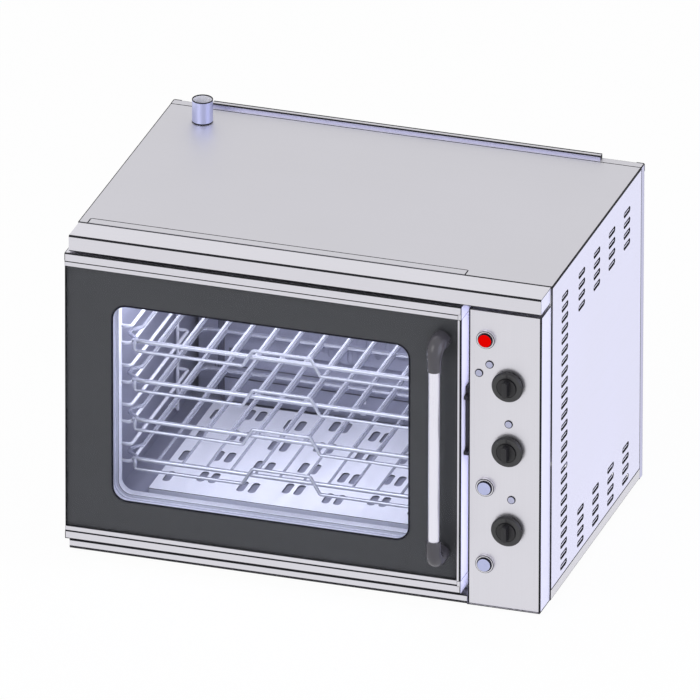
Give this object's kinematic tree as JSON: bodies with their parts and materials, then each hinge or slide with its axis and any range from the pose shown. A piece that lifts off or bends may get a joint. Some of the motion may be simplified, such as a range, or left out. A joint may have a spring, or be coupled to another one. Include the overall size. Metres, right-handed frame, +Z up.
{
  "type": "convection oven",
  "caption": "Countertop convection oven: folded steel casing, side-hinged glass door with a bar handle, wire racks, fan and ring heater in a lined cavity, and a control column.",
  "frame": {"origin": "centre of the oven's footprint on the surface that it stands on", "axes": "+X to the right as seen from the front, +Y to the back, +Z up"},
  "size_m": [0.7036, 0.5806, 0.5267],
  "materials": {
    "stainless": "satin",
    "lining": "satin",
    "bright_steel": "bright",
    "chrome_wire": "polished",
    "black_plastic": "fine texture",
    "dark_handle": "smooth",
    "printed_border": "printed behind glass",
    "glass": "clear",
    "rubber": "matt",
    "insulation": "mineral wool",
    "heater_metal": "oxidised",
    "red_plastic": "smooth",
    "pale_plastic": "smooth",
    "lamp_plastic": "smooth"
  },
  "bodies": {
    "casing": {"base_pan": "stainless", "left_side_panel": "stainless", "right_side_panel": "stainless", "back_panel": "stainless", "top_panel": "stainless", "visor": "stainless", "front_frame": "bright_steel", "control_panel": "stainless", "rear_motor_cover": "stainless", "foot_1": "rubber", "foot_2": "rubber", "foot_3": "rubber", "foot_4": "rubber", "cavity_liner": "lining", "cavity_insulation": "insulation", "fan_baffle": "lining", "ring_heater": "heater_metal", "floor_plate": "bright_steel", "left_rack_ladder": "chrome_wire", "right_rack_ladder": "chrome_wire", "door_gasket": "rubber", "fan_motor": "lining", "exhaust_pipe": "bright_steel", "lamp_housing": "stainless", "lamp_lens": "glass", "cable_gland": "black_plastic", "catch_keeper": "black_plastic", "upper_hinge_bracket": "stainless", "lower_hinge_bracket": "stainless", "thermostat_body": "lining", "timer_body": "lining", "selector_body": "lining", "button_bezel_power": "lining", "button_bezel_light": "lining", "button_bezel_steam": "lining", "pilot_lamp_1": "lamp_plastic", "pilot_lamp_2": "lamp_plastic", "pilot_lamp_3": "lamp_plastic", "pilot_lamp_4": "lamp_plastic"},
    "door": {"door_outer_glass": "glass", "door_frit_border": "printed_border", "door_inner_glass": "glass", "door_frame": "stainless", "door_top_rail": "stainless", "door_bottom_rail": "stainless", "handle_tube": "bright_steel", "handle_upper_elbow": "dark_handle", "handle_lower_elbow": "dark_handle", "door_catch": "black_plastic"},
    "knob_temperature": {"knob_temperature": "black_plastic"},
    "knob_timer": {"knob_timer": "black_plastic"},
    "knob_function": {"knob_function": "black_plastic"},
    "button_power": {"button_power": "red_plastic"},
    "button_light": {"button_light": "pale_plastic"},
    "button_steam": {"button_steam": "pale_plastic"},
    "fan": {"fan_wheel": "stainless"},
    "rack_1": {"rack_1": "chrome_wire"},
    "rack_2": {"rack_2": "chrome_wire"},
    "rack_3": {"rack_3": "chrome_wire"},
    "rack_4": {"rack_4": "chrome_wire"}
  },
  "joints": [
    {"name": "door_hinge", "type": "hinge", "parent": "casing", "child": "door", "pos_m": [-0.3402, -0.23065, 0.243], "axis": [0, 0, -1], "range_deg": [0, 120]},
    {"name": "knob_temperature_turn", "type": "hinge", "parent": "casing", "child": "knob_temperature", "pos_m": [0.3018, -0.24465, 0.3519], "axis": [0, 1, 0], "range_deg": [0, 285]},
    {"name": "knob_timer_turn", "type": "hinge", "parent": "casing", "child": "knob_timer", "pos_m": [0.3018, -0.24465, 0.2512], "axis": [0, 1, 0], "range_deg": [0, 330]},
    {"name": "knob_function_turn", "type": "hinge", "parent": "casing", "child": "knob_function", "pos_m": [0.3018, -0.24465, 0.128], "axis": [0, 1, 0], "range_deg": [0, 270]},
    {"name": "button_power_press", "type": "slide", "parent": "casing", "child": "button_power", "axis": [0, 1, 0], "range_m": [0, 0.003], "stiffness_N_per_m": 300},
    {"name": "button_light_press", "type": "slide", "parent": "casing", "child": "button_light", "axis": [0, 1, 0], "range_m": [0, 0.003], "stiffness_N_per_m": 300},
    {"name": "button_steam_press", "type": "slide", "parent": "casing", "child": "button_steam", "axis": [0, 1, 0], "range_m": [0, 0.003], "stiffness_N_per_m": 300},
    {"name": "fan_spin", "type": "hinge", "parent": "casing", "child": "fan", "pos_m": [-0.0592, 0.173, 0.2373], "axis": [0, 1, 0], "continuous": true},
    {"name": "rack_1_slide", "type": "slide", "parent": "casing", "child": "rack_1", "axis": [0, -1, 0], "range_m": [0, 0.025]},
    {"name": "rack_2_slide", "type": "slide", "parent": "casing", "child": "rack_2", "axis": [0, -1, 0], "range_m": [0, 0.025]},
    {"name": "rack_3_slide", "type": "slide", "parent": "casing", "child": "rack_3", "axis": [0, -1, 0], "range_m": [0, 0.025]},
    {"name": "rack_4_slide", "type": "slide", "parent": "casing", "child": "rack_4", "axis": [0, -1, 0], "range_m": [0, 0.025]}
  ]
}
